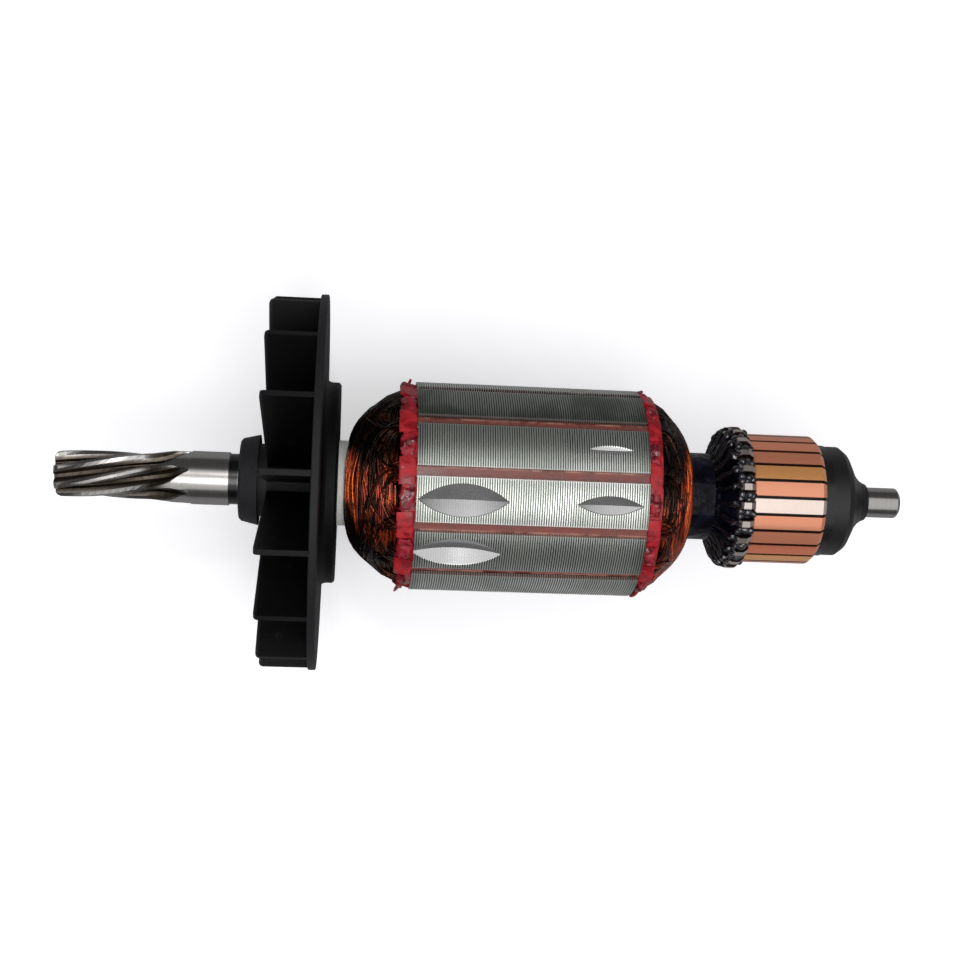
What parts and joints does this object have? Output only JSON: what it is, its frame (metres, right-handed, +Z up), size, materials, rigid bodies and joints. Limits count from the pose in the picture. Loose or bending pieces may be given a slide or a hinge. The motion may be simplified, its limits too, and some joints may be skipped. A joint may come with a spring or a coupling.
{
  "type": "motor armature",
  "caption": "Universal motor armature: slotted wound core on a shaft with a helical pinion, a radial cooling fan, a barred commutator with hooks and two bearing journals.",
  "frame": {"origin": "middle of the drive-end bearing journal, on the shaft axis", "axes": "+X along the shaft from the pinion to the commutator, +Z up, square to the shaft"},
  "size_m": [0.1922, 0.0842, 0.0842],
  "materials": {
    "shaft_steel": "ground and oiled",
    "fan_moulding": "matt black",
    "sleeve_fibre": "matt off-white",
    "core_steel": "turned laminations",
    "red_board": "varnished",
    "liner_board": "varnished",
    "winding_wire": "enamelled copper wire under varnish",
    "lead_wire": "varnished twisted wire",
    "winding_resin": "glossy resin",
    "bar_copper": "bare turned copper",
    "commutator_moulding": "dark moulding",
    "cap_moulding": "satin black"
  },
  "bodies": {
    "root": {"shaft": "shaft_steel", "fan": "fan_moulding", "insulating_sleeve": "sleeve_fibre", "core": "core_steel", "fan_end_insulator": "red_board", "commutator_end_insulator": "red_board", "slot_liners": "liner_board", "slot_wedges": "liner_board", "coil_01": "winding_wire", "coil_02": "winding_wire", "coil_03": "winding_wire", "coil_04": "winding_wire", "coil_05": "winding_wire", "coil_06": "winding_wire", "coil_07": "winding_wire", "coil_08": "winding_wire", "coil_09": "winding_wire", "coil_10": "winding_wire", "coil_11": "winding_wire", "coil_12": "winding_wire", "coil_leads": "lead_wire", "lead_binding": "winding_resin", "lead_collar": "winding_resin", "commutator_bars": "bar_copper", "commutator_body": "commutator_moulding", "end_cap": "cap_moulding"}
  },
  "joints": []
}
